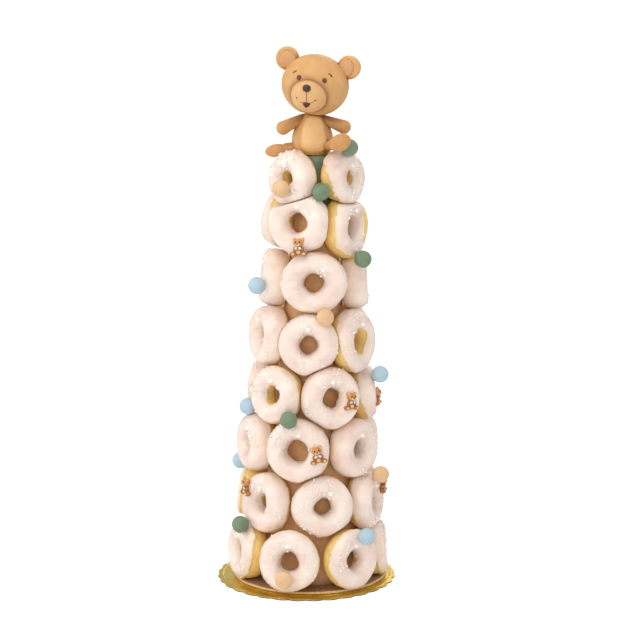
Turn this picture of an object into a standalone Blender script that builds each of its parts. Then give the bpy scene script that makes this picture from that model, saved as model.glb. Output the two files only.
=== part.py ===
"""Doughnut cone tower: glazed ring doughnuts pinned in eight tiers on a slim cone, with
fondant balls, little bears and a seated bear on the tip, on a disc and a scalloped card.

Metres, +Z up, origin at the centre of the card's underside, the front towards -Y.
A bearing is an angle round the tower, in degrees: 0 is the front, 90 is the right side.
"""
import math
import random
from collections import namedtuple

import bmesh
import bpy
from mathutils import Matrix, Vector
from mathutils.bvhtree import BVHTree

# ---- driving dimensions -------------------------------------------------------------------

GAP = 0.0003                    # clearance kept where two pieces touch

BOARD_RADIUS = 0.100            # gold card, to the tips of its scallops
BOARD_THICKNESS = 0.0018
BOARD_SCALLOPS = 32
BOARD_SCALLOP_DEPTH = 0.0030
POINTS_A_SCALLOP = 3

DISC_RADIUS = 0.0862            # the cone's own disc, set down a little off centre
DISC_THICKNESS = 0.0025
DISC_CENTRE = (0.004, 0.004)
DISC_SIDES = 32

CONE_BASE_RADIUS = 0.0585
CONE_TAPER = 0.0867             # radius lost for each unit of height
CONE_HEIGHT = 0.4735            # flat tip, above the table
CONE_TIP_ROUNDING = 0.004
CONE_SIDES = 30
AXIS_START = 0.0025             # where the tower's axis stands on the card
AXIS_LEAN = 0.0180              # and how far it leans to the right for each unit of height

DOUGHNUT_THICKNESS = 0.031
DOUGH_WIDTH = 0.0235            # of the ring, from its outer edge to the hole
DOUGH_FULLNESS = 2.25           # 2 is an ellipse, more is squarer
BACK_PRESS = 0.0012             # how far a back is pressed flat against the cone
SIDES_ROUND_RING = 11
SIDES_ROUND_DOUGH = 8
RING_ALLOWANCE = 1.016          # so that the facets average the true round ring
DOUGH_ALLOWANCE = 1.035
NEIGHBOUR_REACH = 0.078         # centres further apart than this never meet
LAP = 0.30                      # how far each tier leans out over the one below it
TOP_LAP = -0.35                 # the top tier is tucked in behind the next one

# Each tier from the card upwards. A doughnut is its bearing, the height of its centre and
# its height across, in millimetres, and its width as a share of that height.
TIERS = (
    ((-15, 36, 68, 1.00), (35, 35, 67, 0.98), (82, 34, 65, 1.00),
     (147, 36, 67, 1.00), (-146, 36, 66, 1.02), (-67, 35, 66, 1.00)),
    ((-47, 94, 67, 0.98), (12, 95, 66, 1.03), (70, 92, 66, 1.00),
     (128, 94, 66, 1.01), (-171, 95, 67, 0.98), (-100, 93, 64, 1.00)),
    ((-78, 155, 65, 1.00), (-13, 156, 71, 0.97), (52, 154, 66, 0.98),
     (127, 155, 67, 1.00), (-157, 155, 66, 1.02)),
    ((-43, 214, 65, 1.00), (21, 213, 68, 0.97), (92, 209, 64, 1.00),
     (167, 212, 67, 1.00), (-116, 213, 65, 1.00)),
    ((-70, 276, 65, 1.00), (-5, 271, 67, 0.98), (60, 271, 70, 0.97),
     (134, 272, 66, 1.00), (-147, 273, 66, 1.00)),
    ((-88, 337, 65, 1.00), (0, 338, 67, 1.08), (90, 334, 63, 1.00), (180, 337, 67, 1.02)),
    ((-25, 402, 68, 1.07), (57, 396, 70, 0.87), (146, 398, 65, 1.00), (-120, 399, 65, 1.00)),
    ((-46, 448, 60, 1.00), (57, 449, 60, 0.96), (-177, 449, 60, 1.00)),
)
# Doughnuts pinned askew or stood further out: how far each is turned away from the cone's own
# heading, in degrees (more turns it to the right), and how far its centre stands off, in mm.
ASKEW = {(1, 1): (0, 9.0), (1, 2): (5, 8.0), (1, 3): (6, 0.5), (1, 6): (2, 3.0),
         (3, 1): (11, 2.0), (5, 1): (7, 1.0)}

PEARL_RADIUS = 0.0026           # sugar pearl over the end of each doughnut's pick
PEARL_TURN = 86                 # nearly straight above the hole, give or take the spread
PEARL_TURN_SPREAD = 9
PEARL_TURNS = {"doughnut_2_2": 69, "doughnut_6_2": 58}      # picks that went in further right
PEARL_ROLL = 112                # just inside the crest of the ring
BALL_RADIUS = 0.0095
BALL_SINK = 0.0012              # of a ball that is one piece with its doughnut

# Fondant balls that lie against several pieces: bearing and height of the centre in mm.
BALLS = {
    "ball_green_1": (46, 484), "ball_green_2": (7, 438), "ball_green_3": (55, 364),
    "ball_green_4": (-18, 195), "ball_green_5": (-57, 72),
    "ball_blue_1": (-60, 335), "ball_blue_2": (75, 234), "ball_blue_3": (-78, 197),
    "ball_blue_4": (-109, 125), "ball_blue_5": (39, 66),
    "ball_beige_1": (-39, 441), "ball_beige_2": (11, 305), "ball_beige_3": (65, 125),
}

# Balls and little bears pressed into one doughnut: its tier and place, then the bearing and
# height in mm, and for a bear how far it tips over to its own left, in degrees.
PRESSED_BALLS = (
    (1, 1, -15, 24), (5, 5, -117, 257), (1, 4, 139, 58), (2, 5, -168, 122),
    (5, 4, 150, 296), (6, 4, -172, 360),
)
SMALL_BEARS = (
    (7, 1, -17, 380, -4), (4, 2, 35, 213, 4), (3, 2, 5, 158, -12), (4, 3, 80, 208, 0),
    (2, 1, -62, 112, 0), (2, 3, 82, 108, 0), (5, 5, -140, 262, 6),
)
SMALL_BEAR_REACH = 0.006        # half the width of its back, which bridges the hollows
SMALL_BEAR_SINK = 0.0016        # how deep it is pushed into the glaze
# Each lump of a little bear: right, back and up of its centre, then its radii, all in mm.
SMALL_BEAR_LUMPS = (
    ((0.0, -2.4, -3.6), (4.6, 4.0, 5.6)),
    ((0.0, -3.2, 4.4), (5.7, 4.2, 4.5)),
)
SMALL_BEAR_PAIRS = (
    ((4.7, -2.4, 7.6), (2.0, 1.8, 2.0)),
    ((5.6, -3.8, -7.4), (3.8, 3.6, 2.6)),
)

# The seated bear. Places are right, back and up from the middle of the cone's tip, in mm.
HEAD_CENTRE = (-0.9, -6.0, 75.5)
HEAD_RADII = (36.6, 32.5, 33.0)
HEAD_ROLL = 9                   # degrees, to its own left
HEAD_YAW = 12                   # degrees, to its own right
MUZZLE = ((0.0, -22.5, -10.2), (19.9, 18.5, 18.4))
NOSE = ((-0.5, -40.0, -2.6), (4.5, 3.4, 4.1))
EYE_LEFT = ((-12.4, -29.6, 6.6), (2.8, 2.0, 2.8))
EYE_RIGHT = ((14.8, -28.4, 7.8), (2.8, 2.0, 2.8))
EAR_LEFT = ((-35.0, 1.5, 23.0), (12.9, 5.2, 12.9))
EAR_RIGHT = ((33.3, 1.5, 24.6), (12.9, 5.2, 12.9))
TORSO_CENTRE = (-3.9, -1.0, 21.5)
TORSO_RADII = (21.8, 18.5, 27.0)
TORSO_NARROWING = 0.26          # width lost at the shoulders and gained at the hips
NECK_HEIGHT = 44.5
# Each limb: its start and end, then the radius at each.
ARM_LEFT = ((-15.0, -2.0, 39.5), (-35.5, -9.0, 29.5), 4.8, 7.6)
ARM_RIGHT = ((7.5, -2.0, 38.5), (30.0, -9.0, 30.5), 4.8, 7.6)
LEG_LEFT = ((-16.0, -1.0, 8.5), (-32.0, 0.5, 6.5), 5.6, 6.0)
LEG_RIGHT = ((10.5, -10.0, 9.5), (23.5, -44.0, 16.0), 5.2, 5.8)
# Each foot: its centre, its radii and its roll in degrees. The right sole faces forwards.
FOOT_LEFT = ((-42.5, 1.5, 4.0), (13.0, 7.2, 7.2), -7)
FOOT_RIGHT = ((25.5, -52.5, 17.5), (11.8, 4.6, 9.2), -28)

COLOURS = {                     # base colour, roughness, metallic
    "gold_card": ((0.62, 0.45, 0.09), 0.35, 0.8),
    "brown_disc": ((0.45, 0.34, 0.26), 0.8, 0.0),
    "cone": ((0.47, 0.28, 0.15), 0.8, 0.0),
    "glazed_dough": ((0.93, 0.84, 0.76), 0.35, 0.0),
    "green_fondant": ((0.17, 0.29, 0.17), 0.5, 0.0),
    "blue_fondant": ((0.43, 0.64, 0.80), 0.5, 0.0),
    "beige_fondant": ((0.80, 0.56, 0.32), 0.5, 0.0),
    "tan_fondant": ((0.60, 0.33, 0.13), 0.55, 0.0),
}

Doughnut = namedtuple("Doughnut", "name tier centre right up out height oval thickness waves")
Plane = namedtuple("Plane", "point normal")     # material lies on the side the normal points to


# ---- small helpers ------------------------------------------------------------------------

def clear_scene():
    for thing in list(bpy.data.objects):
        bpy.data.objects.remove(thing, do_unlink=True)


def new_collection(name):
    collection = bpy.data.collections.new(name)
    bpy.context.scene.collection.children.link(collection)
    return collection


def make_material(name):
    colour, roughness, metallic = COLOURS[name]
    material = bpy.data.materials.new(name)
    material.use_nodes = True
    shader = material.node_tree.nodes["Principled BSDF"]
    shader.inputs["Base Color"].default_value = (*colour, 1.0)
    shader.inputs["Roughness"].default_value = roughness
    shader.inputs["Metallic"].default_value = metallic
    return material


def add_object(name, bm, collection, material):
    """Turns a bmesh into a smooth-shaded object."""
    mesh = bpy.data.meshes.new(name)
    bm.to_mesh(mesh)
    bm.free()
    mesh.materials.append(material)
    mesh.shade_smooth()
    thing = bpy.data.objects.new(name, mesh)
    collection.objects.link(thing)
    return thing


def press(bm, planes):
    """Flattens whatever passes a plane onto it."""
    for _ in range(3):
        for vertex in bm.verts:
            for plane in planes:
                depth = (vertex.co - plane.point).dot(plane.normal)
                if depth < 0.0:
                    vertex.co -= plane.normal * depth


def in_metres(sizes):
    return [size / 1000 for size in sizes]


def stretch(bm, centre, radii, turned):
    """Makes a unit ball an ellipsoid in its place."""
    for vertex in bm.verts:
        stretched = Vector(size * value for size, value in zip(radii, vertex.co))
        vertex.co = Vector(centre) + turned @ stretched
    return bm


def lump(centre, radii, turned=Matrix.Identity(3), sides=8, rings=5):
    """An ellipsoid from a UV sphere."""
    bm = bmesh.new()
    bmesh.ops.create_uvsphere(bm, u_segments=sides, v_segments=rings, radius=1.0)
    return stretch(bm, centre, radii, turned)


def bead(centre, radii, turned=Matrix.Identity(3)):
    """An ellipsoid from an icosphere, for the smallest pieces."""
    bm = bmesh.new()
    bmesh.ops.create_icosphere(bm, subdivisions=1, radius=1.0)
    return stretch(bm, centre, radii, turned)


def limb(start, end, start_radius, end_radius, sides=10, rings=7):
    """A sphere drawn out from one end to the other, so that it tapers between two round ends."""
    start, end = Vector(start), Vector(end)
    along = (end - start).to_track_quat("Z", "Y").to_matrix()
    bm = bmesh.new()
    bmesh.ops.create_uvsphere(bm, u_segments=sides, v_segments=rings, radius=1.0)
    for vertex in bm.verts:
        far = vertex.co.z > 0
        vertex.co = (end if far else start) + along @ vertex.co * (end_radius if far
                                                                  else start_radius)
    return bm


def fuse(host, extras):
    """Joins the extra solids to the host with one Boolean union and removes them."""
    cutters = new_collection("toppings of " + host.name)
    for extra in extras:
        for owner in list(extra.users_collection):
            owner.objects.unlink(extra)
        cutters.objects.link(extra)
    union = host.modifiers.new("union", "BOOLEAN")
    union.operation = "UNION"
    union.operand_type = "COLLECTION"
    union.collection = cutters
    union.solver = "EXACT"
    bpy.context.view_layer.update()
    evaluated = host.evaluated_get(bpy.context.evaluated_depsgraph_get())
    joined = bpy.data.meshes.new_from_object(evaluated)
    host.modifiers.clear()
    host.data = joined
    for extra in list(cutters.objects):
        bpy.data.objects.remove(extra, do_unlink=True)
    bpy.data.collections.remove(cutters)


def tree_of(thing):
    """A search tree over an object's surface, for distances."""
    bm = bmesh.new()
    bm.from_mesh(thing.data)
    tree = BVHTree.FromBMesh(bm)
    bm.free()
    return tree


# ---- the cone and what it stands on -------------------------------------------------------

def axis_at(height):
    return Vector((AXIS_START + AXIS_LEAN * height, 0.0, height))


def heading(bearing):
    turn = math.radians(bearing)
    return Vector((math.sin(turn), -math.cos(turn), 0.0))


def cone_radius(height):
    return CONE_BASE_RADIUS - CONE_TAPER * height


def cone_face(height, facing):
    """The cone's surface on one heading: a point on it and the way it faces."""
    rise = Vector((AXIS_LEAN, 0.0, 1.0)) - CONE_TAPER * facing
    right = Vector((0.0, 0.0, 1.0)).cross(facing)
    return Plane(axis_at(height) + facing * cone_radius(height), right.cross(rise).normalized())


def floor_height():
    """Top of the disc, with the clearance that lies on it."""
    return BOARD_THICKNESS + GAP + DISC_THICKNESS + GAP


def make_board(collection, material):
    """Scalloped gold card: a filled 2D curve as thick as the card."""
    outline = bpy.data.curves.new("board_outline", "CURVE")
    outline.dimensions = "2D"
    outline.fill_mode = "BOTH"
    outline.extrude = BOARD_THICKNESS / 2
    count = BOARD_SCALLOPS * POINTS_A_SCALLOP
    spline = outline.splines.new("POLY")
    spline.points.add(count - 1)
    spline.use_cyclic_u = True
    for index, point in enumerate(spline.points):
        turn = 2 * math.pi * index / count
        bulge = abs(math.sin(BOARD_SCALLOPS * turn / 2))
        radius = BOARD_RADIUS - BOARD_SCALLOP_DEPTH * (1 - bulge)
        point.co = (radius * math.cos(turn), radius * math.sin(turn), 0.0, 1.0)
    outline.materials.append(material)
    board = bpy.data.objects.new("board", outline)
    board.location.z = BOARD_THICKNESS / 2
    collection.objects.link(board)


def make_disc(collection, material):
    bm = bmesh.new()
    bmesh.ops.create_cone(bm, cap_ends=True, segments=DISC_SIDES, radius1=DISC_RADIUS,
                          radius2=DISC_RADIUS, depth=DISC_THICKNESS)
    disc = add_object("disc", bm, collection, material)
    disc.location = (*DISC_CENTRE, BOARD_THICKNESS + GAP + DISC_THICKNESS / 2)


def make_cone(collection, material):
    """The whole cone up to its flat tip, with the fondant cap that covers the tip."""
    bottom = floor_height()
    depth = CONE_HEIGHT - bottom
    bm = bmesh.new()
    bmesh.ops.create_cone(bm, cap_ends=True, segments=CONE_SIDES, radius1=cone_radius(bottom),
                          radius2=cone_radius(CONE_HEIGHT), depth=depth)
    rim = [edge for edge in bm.edges if all(vertex.co.z > 0 for vertex in edge.verts)]
    bmesh.ops.bevel(bm, geom=rim, offset=CONE_TIP_ROUNDING, segments=2, affect="EDGES",
                    profile=0.5)
    for vertex in bm.verts:
        vertex.co.z += bottom + depth / 2
        vertex.co.x += axis_at(vertex.co.z).x
    add_object("cone", bm, collection, material)


# ---- doughnuts ----------------------------------------------------------------------------

def lay_out_doughnuts():
    """Sets each doughnut against the cone: its centre, its own directions and unevenness."""
    doughnuts = []
    for tier, row in enumerate(TIERS, start=1):
        for place, (bearing, height, across, oval) in enumerate(row, start=1):
            draw = random.Random(100 * tier + place)
            surface, out = cone_face(height / 1000, heading(bearing))
            thickness = DOUGHNUT_THICKNESS * draw.uniform(0.96, 1.04)
            askew, stand_off = ASKEW.get((tier, place), (0, 0))
            centre = surface + out * (thickness / 2 - BACK_PRESS + stand_off / 1000)
            right = Vector((0.0, 0.0, 1.0)).cross(out).normalized()
            tip = Matrix.Rotation(math.radians(draw.uniform(-2.5, 2.5)), 3, right)
            swing = Matrix.Rotation(math.radians(draw.uniform(-3.0, 3.0) + askew), 3, "Z")
            out = swing @ tip @ out
            right = Vector((0.0, 0.0, 1.0)).cross(out).normalized()
            waves = tuple((count, draw.uniform(0.006, 0.018), draw.uniform(0, 2 * math.pi))
                          for count in (2, 3, 4))
            doughnuts.append(Doughnut(f"doughnut_{tier}_{place}", tier, centre, right,
                                      out.cross(right), out, across / 1000, oval, thickness,
                                      waves))
    return doughnuts


def ring_point(doughnut, turn, roll):
    """A point on the dough: turn goes round the hole from the right, roll round the dough."""
    swell = 1 + sum(size * math.cos(count * turn + start)
                    for count, size, start in doughnut.waves)
    middle = (doughnut.height - DOUGH_WIDTH) / 2 * swell * RING_ALLOWANCE
    half_width = DOUGH_WIDTH / 2 * DOUGH_ALLOWANCE
    half_thickness = doughnut.thickness / 2 * DOUGH_ALLOWANCE
    power = 2 / DOUGH_FULLNESS
    across = math.copysign(abs(math.cos(roll)) ** power, math.cos(roll)) * half_width
    depth = math.copysign(abs(math.sin(roll)) ** power, math.sin(roll)) * half_thickness
    radius = middle + across
    return (doughnut.centre + doughnut.out * depth
            + doughnut.right * (radius * math.cos(turn) * doughnut.oval)
            + doughnut.up * (radius * math.sin(turn)))


def own_space(doughnut, doughnuts):
    """The planes that part a doughnut from its neighbours, the cone and the disc."""
    level = doughnut.centre.z
    away = doughnut.centre - axis_at(level)
    surface, normal = cone_face(level, Vector((away.x, away.y, 0.0)).normalized())
    planes = [Plane(surface + normal * GAP, normal),
              Plane(Vector((0.0, 0.0, floor_height())), Vector((0.0, 0.0, 1.0)))]
    for other in doughnuts:
        between = other.centre - doughnut.centre
        if other is doughnut or between.length > NEIGHBOUR_REACH:
            continue
        lap = TOP_LAP if len(TIERS) in (doughnut.tier, other.tier) else LAP
        toward = between.normalized()
        front = (doughnut.out + other.out).normalized()
        normal = -(toward - front * (lap * toward.z)).normalized()
        share = doughnut.height / (doughnut.height + other.height)
        planes.append(Plane(doughnut.centre + between * share + normal * GAP / 2, normal))
    return planes


def make_doughnut(doughnut, planes, collection, material):
    """A torus shaped to the doughnut's own form, pressed by what it touches, with its pearl."""
    bpy.ops.mesh.primitive_torus_add(major_segments=SIDES_ROUND_RING, major_radius=1.0,
                                     minor_segments=SIDES_ROUND_DOUGH, minor_radius=0.3)
    thing = bpy.context.object
    thing.name = thing.data.name = doughnut.name
    for owner in list(thing.users_collection):
        owner.objects.unlink(thing)
    collection.objects.link(thing)
    half_step = math.pi / SIDES_ROUND_DOUGH
    bm = bmesh.new()
    bm.from_mesh(thing.data)
    for vertex in bm.verts:
        turn = math.atan2(vertex.co.y, vertex.co.x)
        roll = math.atan2(vertex.co.z, math.hypot(vertex.co.x, vertex.co.y) - 1.0)
        vertex.co = ring_point(doughnut, turn, roll + half_step)
    press(bm, planes)
    bm.to_mesh(thing.data)
    bm.free()
    thing.data.materials.append(material)
    thing.data.shade_smooth()
    draw = random.Random(doughnut.name)
    usual = PEARL_TURN + draw.uniform(-PEARL_TURN_SPREAD, PEARL_TURN_SPREAD)
    turn = PEARL_TURNS.get(doughnut.name, usual)
    place = ring_point(doughnut, math.radians(turn), math.radians(PEARL_ROLL))
    pearl = bead(place, [PEARL_RADIUS] * 3)
    press(pearl, planes)
    fuse(thing, [add_object("pearl", pearl, collection, material)])
    return thing


# ---- balls and little bears ---------------------------------------------------------------

def settle(bearing, height, clearances):
    """Moves in level with the axis from outside until every surface is just far enough off."""
    facing = heading(bearing)
    axis = axis_at(height / 1000)
    radius = 2 * CONE_BASE_RADIUS
    for _ in range(80):
        place = axis + facing * radius
        room = min(tree.find_nearest(place)[3] - distance for tree, distance in clearances)
        radius -= max(room, 0.0)
    return axis + facing * radius


def small_bear(place, facing, tip):
    """The lumps of a little bear, with its back in the glaze."""
    right = Vector((0.0, 0.0, 1.0)).cross(facing).normalized()
    frame = Matrix((right, -facing, facing.cross(right))).transposed()
    frame = frame @ Matrix.Rotation(math.radians(tip), 3, "Y")
    lumps = []
    for centre, radii in SMALL_BEAR_LUMPS:
        lumps.append(lump(place + frame @ Vector(centre) / 1000, in_metres(radii), frame,
                          sides=6, rings=4))
    for (across, back, up), radii in SMALL_BEAR_PAIRS:
        for side in (-1, 1):
            lumps.append(bead(place + frame @ Vector((side * across, back, up)) / 1000,
                              in_metres(radii), frame))
    return lumps


def add_pressed_toppings(things, collection, materials):
    """Fuses the pressed balls and the little bears to the doughnuts that hold them."""
    trees = {name: tree_of(thing) for name, thing in things.items()}
    extras = {}
    for tier, place, bearing, height in PRESSED_BALLS:
        host = f"doughnut_{tier}_{place}"
        clearances = [(tree, BALL_RADIUS - BALL_SINK if name == host else BALL_RADIUS + GAP)
                      for name, tree in trees.items()]
        ball = lump(settle(bearing, height, clearances), [BALL_RADIUS] * 3)
        ball = add_object("pressed_ball", ball, collection, materials["green_fondant"])
        extras.setdefault(host, []).append(ball)
    for tier, place, bearing, height, tip in SMALL_BEARS:
        host = f"doughnut_{tier}_{place}"
        spot = settle(bearing, height, [(trees[host], SMALL_BEAR_REACH)])
        spot -= heading(bearing) * (SMALL_BEAR_REACH + SMALL_BEAR_SINK)
        for bm in small_bear(spot, heading(bearing), tip):
            bear = add_object("small_bear_lump", bm, collection, materials["tan_fondant"])
            extras.setdefault(host, []).append(bear)
    for host, lumps in extras.items():
        fuse(things[host], lumps)


def make_balls(obstacles, collection, materials):
    trees = [(tree_of(thing), BALL_RADIUS + GAP) for thing in obstacles]
    for name, (bearing, height) in BALLS.items():
        ball = lump(settle(bearing, height, trees), [BALL_RADIUS] * 3)
        colour = name.split("_")[1]
        ball = add_object(name, ball, collection, materials[colour + "_fondant"])
        trees.append((tree_of(ball), BALL_RADIUS + GAP))


# ---- the seated bear ----------------------------------------------------------------------

def from_tip(place):
    """A place given from the middle of the cone's tip, in metres."""
    return axis_at(CONE_HEIGHT) + Vector(place) / 1000


def torso_mesh():
    bm = lump(from_tip(TORSO_CENTRE), in_metres(TORSO_RADII), sides=14, rings=9)
    middle = from_tip(TORSO_CENTRE)
    for vertex in bm.verts:
        level = (vertex.co.z - middle.z) / (TORSO_RADII[2] / 1000)
        width = 1 - TORSO_NARROWING * level
        vertex.co.x = middle.x + (vertex.co.x - middle.x) * width
        vertex.co.y = middle.y + (vertex.co.y - middle.y) * width
    return bm


def make_bear_head(neck, collection, material):
    """Head, muzzle, nose, eyes and ears in one solid."""
    turned = (Matrix.Rotation(math.radians(HEAD_ROLL), 3, "Y")
              @ Matrix.Rotation(math.radians(-HEAD_YAW), 3, "Z"))
    centre = from_tip(HEAD_CENTRE)

    def feature(shape, maker=lump, **detail):
        place, radii = shape
        bm = maker(centre + turned @ (Vector(place) / 1000), in_metres(radii), turned, **detail)
        return add_object("feature", bm, collection, material)

    skull = lump(centre, in_metres(HEAD_RADII), turned, sides=16, rings=10)
    press(skull, [Plane(neck.point + neck.normal * GAP / 2, neck.normal)])
    head = add_object("bear_head", skull, collection, material)
    features = [feature(MUZZLE, sides=12, rings=6), feature(NOSE, sides=7, rings=4)]
    features += [feature(ear, sides=10, rings=5) for ear in (EAR_LEFT, EAR_RIGHT)]
    features += [feature(eye, maker=bead) for eye in (EYE_LEFT, EYE_RIGHT)]
    fuse(head, features)


def torso_side(torso, toward):
    """The plane that touches the torso where a limb leaves it."""
    middle = from_tip(TORSO_CENTRE)
    middle.z = toward.z
    point, normal, _, _ = tree_of(torso).ray_cast(middle, (toward - middle).normalized())
    return Plane(point + normal * GAP, normal)


def make_bear(collection, material):
    seat = Plane(from_tip((0.0, 0.0, GAP * 1000)), Vector((0.0, 0.0, 1.0)))
    roll = Matrix.Rotation(math.radians(HEAD_ROLL), 3, "Y")
    neck = Plane(from_tip((TORSO_CENTRE[0], 0.0, NECK_HEIGHT)), roll @ Vector((0.0, 0.0, 1.0)))
    bm = torso_mesh()
    press(bm, [seat, Plane(neck.point - neck.normal * GAP / 2, -neck.normal)])
    torso = add_object("bear_torso", bm, collection, material)
    make_bear_head(neck, collection, material)
    limbs = {"bear_arm_left": ARM_LEFT, "bear_arm_right": ARM_RIGHT,
             "bear_leg_left": LEG_LEFT, "bear_leg_right": LEG_RIGHT}
    feet = {"bear_leg_left": FOOT_LEFT, "bear_leg_right": FOOT_RIGHT}
    for name, (start, end, start_radius, end_radius) in limbs.items():
        start, end = from_tip(start), from_tip(end)
        bm = limb(start, end, start_radius / 1000, end_radius / 1000)
        press(bm, [torso_side(torso, end)])
        piece = add_object(name, bm, collection, material)
        if name in feet:
            centre, radii, foot_roll = feet[name]
            turned = Matrix.Rotation(math.radians(foot_roll), 3, "Y")
            foot = lump(from_tip(centre), in_metres(radii), turned, sides=10, rings=6)
            fuse(piece, [add_object("foot", foot, collection, material)])


# ---- putting it together ------------------------------------------------------------------

def build_tower():
    clear_scene()
    tower = new_collection("doughnut_cone_tower")
    materials = {name: make_material(name) for name in COLOURS}
    make_board(tower, materials["gold_card"])
    make_disc(tower, materials["brown_disc"])
    make_cone(tower, materials["cone"])
    doughnuts = lay_out_doughnuts()
    things = {}
    for doughnut in doughnuts:
        planes = own_space(doughnut, doughnuts)
        things[doughnut.name] = make_doughnut(doughnut, planes, tower,
                                              materials["glazed_dough"])
    add_pressed_toppings(things, tower, materials)
    make_bear(tower, materials["tan_fondant"])
    solids = [thing for thing in tower.objects if thing.type == "MESH" and thing.name != "disc"]
    make_balls(solids, tower, materials)


build_tower()
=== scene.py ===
"""Looks of the doughnut cone tower: dough, glaze, sugar pearls, fondant, card and disc.

Metres, +Z up, the front towards -Y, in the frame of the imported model. A bearing is an angle
round the tower, in degrees: 0 is the front, 90 is the right side.
"""
import math
import random
from collections import namedtuple

import bmesh
import bpy
import numpy as np
from mathutils import Matrix, Vector
from mathutils.bvhtree import BVHTree


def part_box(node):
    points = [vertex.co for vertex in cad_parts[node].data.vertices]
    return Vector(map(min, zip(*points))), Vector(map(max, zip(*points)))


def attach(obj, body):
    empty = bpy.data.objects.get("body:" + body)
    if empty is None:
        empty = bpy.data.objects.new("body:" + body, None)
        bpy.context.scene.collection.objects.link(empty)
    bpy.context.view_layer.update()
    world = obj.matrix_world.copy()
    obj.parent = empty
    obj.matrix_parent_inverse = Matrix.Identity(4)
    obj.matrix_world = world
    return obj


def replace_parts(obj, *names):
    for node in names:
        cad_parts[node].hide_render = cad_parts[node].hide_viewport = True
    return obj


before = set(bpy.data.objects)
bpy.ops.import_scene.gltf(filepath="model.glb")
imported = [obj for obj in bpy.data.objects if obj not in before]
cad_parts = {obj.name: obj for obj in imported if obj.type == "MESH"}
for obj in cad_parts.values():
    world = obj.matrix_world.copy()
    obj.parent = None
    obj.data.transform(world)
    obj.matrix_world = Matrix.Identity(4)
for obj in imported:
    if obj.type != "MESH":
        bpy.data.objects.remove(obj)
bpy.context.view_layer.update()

# ---- driving sizes, the same as the solids' ------------------------------------------------

GAP = 0.0003
BOARD_RADIUS = 0.100
BOARD_THICKNESS = 0.0018
BOARD_SCALLOPS = 32
BOARD_SCALLOP_DEPTH = 0.0030
DISC_RADIUS = 0.0862
DISC_THICKNESS = 0.0025
DISC_CENTRE = (0.004, 0.004)
CONE_BASE_RADIUS = 0.0585
CONE_TAPER = 0.0867
CONE_HEIGHT = 0.4735
CONE_TIP_ROUNDING = 0.004
AXIS_START = 0.0025
AXIS_LEAN = 0.0180
DOUGHNUT_THICKNESS = 0.031
DOUGH_WIDTH = 0.0235
DOUGH_FULLNESS = 2.25
BACK_PRESS = 0.0012
NEIGHBOUR_REACH = 0.078
LAP = 0.30
TOP_LAP = -0.35

# Each tier from the card upwards: bearing, height of the centre and height across in mm, and
# the width as a share of that height.
TIERS = (
    ((-15, 36, 68, 1.00), (35, 35, 67, 0.98), (82, 34, 65, 1.00),
     (147, 36, 67, 1.00), (-146, 36, 66, 1.02), (-67, 35, 66, 1.00)),
    ((-47, 94, 67, 0.98), (12, 95, 66, 1.03), (70, 92, 66, 1.00),
     (128, 94, 66, 1.01), (-171, 95, 67, 0.98), (-100, 93, 64, 1.00)),
    ((-78, 155, 65, 1.00), (-13, 156, 71, 0.97), (52, 154, 66, 0.98),
     (127, 155, 67, 1.00), (-157, 155, 66, 1.02)),
    ((-43, 214, 65, 1.00), (21, 213, 68, 0.97), (92, 209, 64, 1.00),
     (167, 212, 67, 1.00), (-116, 213, 65, 1.00)),
    ((-70, 276, 65, 1.00), (-5, 271, 67, 0.98), (60, 271, 70, 0.97),
     (134, 272, 66, 1.00), (-147, 273, 66, 1.00)),
    ((-88, 337, 65, 1.00), (0, 338, 67, 1.08), (90, 334, 63, 1.00), (180, 337, 67, 1.02)),
    ((-25, 402, 68, 1.07), (57, 396, 70, 0.87), (146, 398, 65, 1.00), (-120, 399, 65, 1.00)),
    ((-46, 448, 60, 1.00), (57, 449, 60, 0.96), (-177, 449, 60, 1.00)),
)

# Tier and place of the doughnuts pinned askew: how far each is turned to the right in degrees,
# and how far its centre then stands off in mm.
ASKEW = {(1, 1): (0, 9.0), (1, 2): (5, 8.0), (1, 3): (6, 0.5), (1, 6): (2, 3.0),
         (3, 1): (11, 2.0), (5, 1): (7, 1.0)}

PEARL_RADIUS = 0.0026
PEARL_TURN = 86
PEARL_TURN_SPREAD = 9
PEARL_TURNS = {"doughnut_2_2": 69, "doughnut_6_2": 58}
PEARL_ROLL = 112
BALL_RADIUS = 0.0095
BALL_SINK = 0.0012
BALL_NODES = [f"ball_{colour}_{number}" for colour, count in
              (("green", 5), ("blue", 5), ("beige", 3)) for number in range(1, count + 1)]

# Tier and place of the doughnut that holds it, then bearing and height in mm; a ball's colour,
# or how far a little bear tips over to its own left, in degrees.
PRESSED_BALLS = (
    (1, 1, -15, 24, "beige"), (5, 5, -117, 257, "green"), (1, 4, 139, 58, "blue"),
    (2, 5, -168, 122, "green"), (5, 4, 150, 296, "green"), (6, 4, -172, 360, "beige"),
)
SMALL_BEARS = (
    (7, 1, -17, 380, -4), (4, 2, 35, 213, 4), (3, 2, 5, 158, -12), (4, 3, 80, 208, 0),
    (2, 1, -62, 112, 0), (2, 3, 82, 108, 0), (5, 5, -140, 262, 6),
)
SMALL_BEAR_REACH = 0.006
SMALL_BEAR_SINK = 0.0016

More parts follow.
